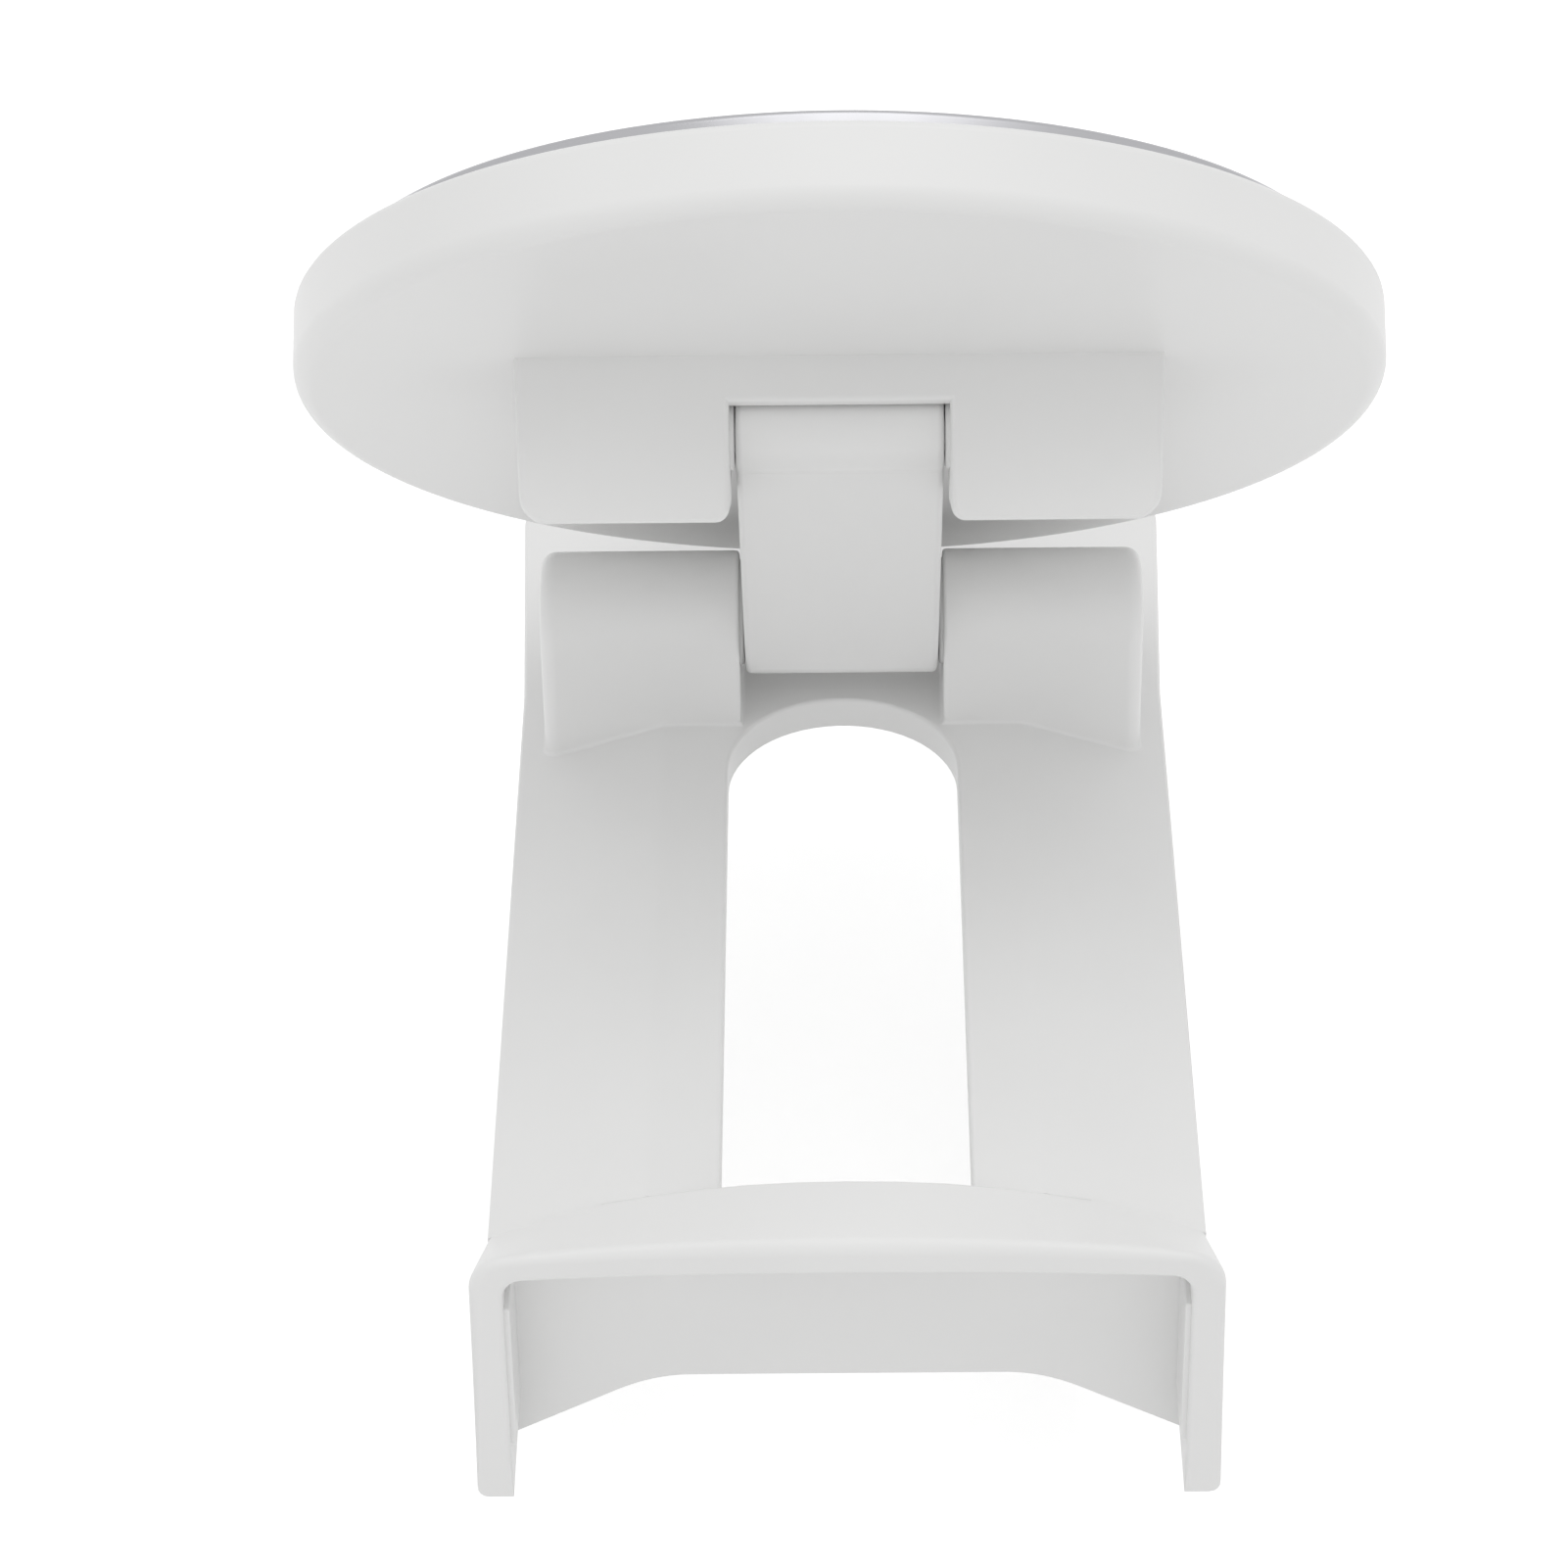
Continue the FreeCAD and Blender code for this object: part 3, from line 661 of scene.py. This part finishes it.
rolls = [math.radians(90 * step / ROLL_STEPS) for step in range(ROLL_STEPS + 1)]
hood_rings = []
for roll in reversed(rolls):
    y = HOOD_BACK - CREST_ROLL * (1 - math.sin(roll))
    outline = between_outlines(*outside_ends, flare(y))
    hood_rings.append(ring(drawn_in(outline, CREST_ROLL * (1 - math.cos(roll)), only_on_crest), y))
for y in OUTSIDE_PLACES:
    hood_rings.append(ring(between_outlines(*outside_ends, flare(y)), y))
for roll in rolls:
    y = BROW + BROW_ROLL * (1 - math.sin(roll))
    outline = between_outlines(*outside_ends, flare(y))
    hood_rings.append(ring(drawn_in(outline, BROW_ROLL * (1 - math.cos(roll)), fades_at_foot), y))
for roll in reversed(rolls[::2]):
    y = BROW + LINING_ROLL * (1 - math.sin(roll))
    outline = between_outlines(*lining_ends, flare(y))
    hood_rings.append(ring(drawn_in(outline, -LINING_ROLL * (1 - math.cos(roll)), fades_at_foot), y))
for y in LINING_PLACES:
    hood_rings.append(ring(between_outlines(*lining_ends, flare(y)), y))
hood = make_piece(loft_round(hood_rings), "hood", Matrix.Identity(4), "clip", "base_clip")

# %% [markdown]
# ## Lands inside the cheeks
# A low flat land on the inside of each cheek guides the bar that hooks into the mouth.
# It starts a little behind the brow and stops short of the cheek's foot.

# %% Lands inside the cheeks
LAND_RISE = 0.3
LAND_FRONT = -27.1
LAND_TOP = -2.0
LAND_BOTTOM = -11.5
LAND_EDGE = 0.12

lands = []
land_outline = [(LAND_FRONT, LAND_BOTTOM), (HOOD_BACK, LAND_BOTTOM)]
land_outline += [(HOOD_BACK, LAND_TOP), (LAND_FRONT, LAND_TOP)]
land_face = BROW_LINING["half"] - LAND_RISE
for side, hand in ((-1, "left"), (1, "right")):
    land = prism(land_outline, side * land_face, side * (land_face + 2 * LAND_RISE))
    soften(land, land.edges[:], LAND_EDGE)
    lands.append(
        make_piece(land, "cheek_land_" + hand, Matrix.Identity(4), "clip", "base_clip")
    )

# %% [markdown]
# ## Finishes
# White satin plastic is never one flat colour: the mould's grain breaks up the highlight
# and the tone drifts a little across a part. Turned metal carries fine rings about its
# middle. Ground pins and plated magnets carry a finer, plainer grain.

# %% Finishes
PATTERN_LOW = 0.3
PATTERN_HIGH = 0.7
PLASTIC_TONES = ((0.815, 0.815, 0.81), (0.84, 0.84, 0.835))
PLASTIC_ROUGHNESS = (0.38, 0.46)
PLASTIC_IOR = 1.47
TONE_DRIFT_SCALE = 60
MOULD_GRAIN_SCALE = 6000
MOULD_GRAIN_STRENGTH = 0.12
MOULD_GRAIN_DEPTH = 0.00002
TURNED_TONES = ((0.5, 0.5, 0.52), (0.62, 0.62, 0.64))
TURNED_ROUGHNESS = (0.26, 0.36)
RING_SCALE = 4200
RING_DETAIL = 4
RING_STRENGTH = 0.25
RING_DEPTH = 0.00003
WEAR_SCALE = 220
PIN_TONES = ((0.52, 0.52, 0.52), (0.66, 0.66, 0.66))
PIN_ROUGHNESS = (0.26, 0.36)
PIN_GRAIN_SCALE = 3000
PLATING_TONES = ((0.66, 0.66, 0.63), (0.74, 0.74, 0.71))
PLATING_ROUGHNESS = (0.12, 0.2)
PLATING_GRAIN_SCALE = 1500


def start_finish(name):
    """A material with its main shader, and short names for adding nodes and links."""
    material = bpy.data.materials.new(name)
    material.use_nodes = True
    tree = material.node_tree
    return material, tree.nodes["Principled BSDF"], tree.nodes, tree.links.new


def noise(nodes, join, coordinates, scale, detail):
    """A noise pattern read from the piece's own coordinates, in metres."""
    pattern = nodes.new("ShaderNodeTexNoise")
    pattern.inputs["Scale"].default_value = scale
    pattern.inputs["Detail"].default_value = detail
    join(coordinates, pattern.inputs["Vector"])
    return pattern.outputs["Fac"]


def between(nodes, join, amount, low_value, high_value):
    """A number that drifts between two values with a pattern."""
    spread = nodes.new("ShaderNodeMapRange")
    spread.inputs["From Min"].default_value = PATTERN_LOW
    spread.inputs["From Max"].default_value = PATTERN_HIGH
    spread.inputs["To Min"].default_value = low_value
    spread.inputs["To Max"].default_value = high_value
    join(amount, spread.inputs["Value"])
    return spread.outputs["Result"]


def blend(nodes, join, amount, dark, pale):
    """A colour that drifts between two tones with a pattern."""
    ramp = nodes.new("ShaderNodeValToRGB")
    ramp.color_ramp.elements[0].position = PATTERN_LOW
    ramp.color_ramp.elements[0].color = (*dark, 1)
    ramp.color_ramp.elements[1].position = PATTERN_HIGH
    ramp.color_ramp.elements[1].color = (*pale, 1)
    join(amount, ramp.inputs["Fac"])
    return ramp.outputs["Color"]


def grain(nodes, join, height, strength, depth, shader):
    """Very shallow relief, with its depth in metres."""
    bump = nodes.new("ShaderNodeBump")
    bump.inputs["Strength"].default_value = strength
    bump.inputs["Distance"].default_value = depth
    join(height, bump.inputs["Height"])
    join(bump.outputs["Normal"], shader.inputs["Normal"])


def satin_plastic():
    """White moulded plastic with a faint mould grain."""
    material, shader, nodes, join = start_finish("white_satin_plastic")
    spot = nodes.new("ShaderNodeTexCoord").outputs["Object"]
    drift = noise(nodes, join, spot, TONE_DRIFT_SCALE, detail=2)
    fine = noise(nodes, join, spot, MOULD_GRAIN_SCALE, detail=2)
    join(blend(nodes, join, drift, *PLASTIC_TONES), shader.inputs["Base Color"])
    join(between(nodes, join, drift, *PLASTIC_ROUGHNESS), shader.inputs["Roughness"])
    grain(nodes, join, fine, MOULD_GRAIN_STRENGTH, MOULD_GRAIN_DEPTH, shader)
    shader.inputs["IOR"].default_value = PLASTIC_IOR
    return material


def turned_metal():
    """Grey metal with rings about the piece's Z axis."""
    material, shader, nodes, join = start_finish("turned_metal")
    spot = nodes.new("ShaderNodeTexCoord").outputs["Object"]
    flat = nodes.new("ShaderNodeVectorMath")
    flat.operation = "MULTIPLY"
    flat.inputs[1].default_value = (1, 1, 0)
    join(spot, flat.inputs[0])
    radius = nodes.new("ShaderNodeVectorMath")
    radius.operation = "LENGTH"
    join(flat.outputs["Vector"], radius.inputs[0])
    rings = nodes.new("ShaderNodeTexNoise")
    rings.noise_dimensions = "1D"
    rings.inputs["Scale"].default_value = RING_SCALE
    rings.inputs["Detail"].default_value = RING_DETAIL
    join(radius.outputs["Value"], rings.inputs["W"])
    wear = noise(nodes, join, spot, WEAR_SCALE, detail=2)
    join(blend(nodes, join, rings.outputs["Fac"], *TURNED_TONES), shader.inputs["Base Color"])
    join(between(nodes, join, wear, *TURNED_ROUGHNESS), shader.inputs["Roughness"])
    grain(nodes, join, rings.outputs["Fac"], RING_STRENGTH, RING_DEPTH, shader)
    shader.inputs["Metallic"].default_value = 1.0
    return material


def plain_metal(name, tones, roughness, scale):
    """Ground or plated metal with an even grain."""
    material, shader, nodes, join = start_finish(name)
    spot = nodes.new("ShaderNodeTexCoord").outputs["Object"]
    specks = noise(nodes, join, spot, scale, detail=3)
    join(blend(nodes, join, specks, *tones), shader.inputs["Base Color"])
    join(between(nodes, join, specks, *roughness), shader.inputs["Roughness"])
    shader.inputs["Metallic"].default_value = 1.0
    return material


def paint(thing, finish):
    """Give a piece or a carried-over node one finish."""
    thing.data.materials.clear()
    thing.data.materials.append(finish)


white_plastic = satin_plastic()
for moulding in (disc_shell, hinge_bracket, link, clip_body, hood, *lands, *bosses):
    paint(moulding, white_plastic)
paint(metal_face, turned_metal())
pin_steel = plain_metal("ground_steel", PIN_TONES, PIN_ROUGHNESS, PIN_GRAIN_SCALE)
for pin in ("lower_hinge_pin", "upper_hinge_pin"):
    paint(frame["nodes"][pin], pin_steel)
plating = plain_metal("nickel_plating", PLATING_TONES, PLATING_ROUGHNESS, PLATING_GRAIN_SCALE)
paint(frame["nodes"]["magnet_ring"], plating)
print("finishes:", sorted(material.name for material in bpy.data.materials))

# %% [markdown]
# ## Camera
# The photograph looks down at the back of the holder from the hood's side, through a
# long lens. The frame is square, so one number, the focal length in pixels, sets the
# lens. A half-degree roll follows the slight tilt of the photograph.

# %% Camera
PICTURE_SIDE = 1601
FOCAL_PIXELS = 5730
SENSOR_MM = 36.0
CAMERA_PLACE = Vector((0.0, -238.4, 193.2)) * MM
LOOK_DOWN = math.radians(37.4)
CAMERA_PAN = math.radians(0.6)
CAMERA_ROLL = math.radians(0.5)
NEAR_CLIP = 0.01

camera_data = bpy.data.cameras.new("photo_camera")
camera_data.sensor_width = SENSOR_MM
camera_data.lens = SENSOR_MM * FOCAL_PIXELS / PICTURE_SIDE
camera_data.clip_start = NEAR_CLIP
camera = bpy.data.objects.new("photo_camera", camera_data)
camera.matrix_world = (
    Matrix.Translation(CAMERA_PLACE)
    @ Matrix.Rotation(math.radians(90) - LOOK_DOWN, 4, "X")
    @ Matrix.Rotation(CAMERA_PAN, 4, "Y")
    @ Matrix.Rotation(-CAMERA_ROLL, 4, "Z")
)
bpy.context.collection.objects.link(camera)
bpy.context.scene.camera = camera
bpy.context.scene.view_settings.view_transform = "Standard"
print("lens", round(camera_data.lens, 1), "mm")

# %% [markdown]
# ## Floor and light
# A white object needs grey somewhere to read as a form. A large soft lamp overhead and
# a weaker one behind the camera give slow gradients, and the pale floor bounces light
# back up under the head. A little glow lifts the floor to white where it is looked at,
# by the camera or in a reflection, and leaves the light that it bounces as it is. The
# world, too, has one brightness for looking at it and another for lighting.

# %% Floor
FLOOR_DROP = 6.0 * MM
FLOOR_SIDE = 4.0
FLOOR_GREY = (0.9, 0.9, 0.9, 1)
SHADOW_LIFT = 0.42


def looks_at_background(tree):
    """One for a camera, glossy or transmission ray, nothing for the rays that only carry light."""
    path = tree.nodes.new("ShaderNodeLightPath")
    looking = path.outputs["Is Camera Ray"]
    for kind in ("Is Glossy Ray", "Is Transmission Ray"):
        either = tree.nodes.new("ShaderNodeMath")
        either.operation = "MAXIMUM"
        tree.links.new(looking, either.inputs[0])
        tree.links.new(path.outputs[kind], either.inputs[1])
        looking = either.outputs["Value"]
    return looking


def floor_finish():
    """A pale diffuse surface, with a glow added for the rays that look at it."""
    material = bpy.data.materials.new("floor_white")
    material.use_nodes = True
    nodes, links = material.node_tree.nodes, material.node_tree.links
    nodes.clear()
    output = nodes.new("ShaderNodeOutputMaterial")
    plain = nodes.new("ShaderNodeBsdfDiffuse")
    plain.inputs["Color"].default_value = FLOOR_GREY
    glow = nodes.new("ShaderNodeEmission")
    glow.inputs["Strength"].default_value = SHADOW_LIFT
    both = nodes.new("ShaderNodeAddShader")
    choose = nodes.new("ShaderNodeMixShader")
    links.new(plain.outputs["BSDF"], both.inputs[0])
    links.new(glow.outputs["Emission"], both.inputs[1])
    links.new(looks_at_background(material.node_tree), choose.inputs["Fac"])
    links.new(plain.outputs["BSDF"], choose.inputs[1])
    links.new(both.outputs["Shader"], choose.inputs[2])
    links.new(choose.outputs["Shader"], output.inputs["Surface"])
    return material


floor_mesh = bpy.data.meshes.new("floor")
half = FLOOR_SIDE / 2
floor_z = CAD_BOX[0][2] - FLOOR_DROP
floor_corners = [(x * half, y * half, floor_z) for x, y in ((-1, -1), (1, -1), (1, 1), (-1, 1))]
floor_mesh.from_pydata(floor_corners, [], [(0, 1, 2, 3)])
floor_mesh.materials.append(floor_finish())
floor = bpy.data.objects.new("floor", floor_mesh)
bpy.context.collection.objects.link(floor)
print("floor at", round(floor_z / MM, 1), "mm")

# %% Lamps and world
CENTRE = (0.0, 0.0, 0.01)
SKY_STRENGTH = 0.76
BACKDROP_GREY = (0.8, 0.8, 0.8, 1)


def lamp(name, place, aim, side, power):
    """A square area lamp that points at a spot on the holder."""
    data = bpy.data.lights.new(name, "AREA")
    data.size = side
    data.energy = power
    thing = bpy.data.objects.new(name, data)
    thing.location = place
    thing.rotation_euler = (Vector(aim) - Vector(place)).to_track_quat("-Z", "Y").to_euler()
    bpy.context.collection.objects.link(thing)


lamp("overhead", place=(0.05, -0.05, 0.85), aim=CENTRE, side=0.7, power=1.6)
lamp("behind_camera", place=(-0.2, -0.8, 0.35), aim=CENTRE, side=0.5, power=0.2)

world = bpy.data.worlds.new("studio")
world.use_nodes = True
bpy.context.scene.world = world
sky = world.node_tree.nodes["Background"]
sky.inputs["Color"].default_value = (1, 1, 1, 1)
sky.inputs["Strength"].default_value = SKY_STRENGTH
backdrop = world.node_tree.nodes.new("ShaderNodeBackground")
backdrop.inputs["Color"].default_value = BACKDROP_GREY
pick = world.node_tree.nodes.new("ShaderNodeMixShader")
join = world.node_tree.links.new
join(looks_at_background(world.node_tree), pick.inputs["Fac"])
join(sky.outputs["Background"], pick.inputs[1])
join(backdrop.outputs["Background"], pick.inputs[2])
join(pick.outputs["Shader"], world.node_tree.nodes["World Output"].inputs["Surface"])
print("lamps ready")
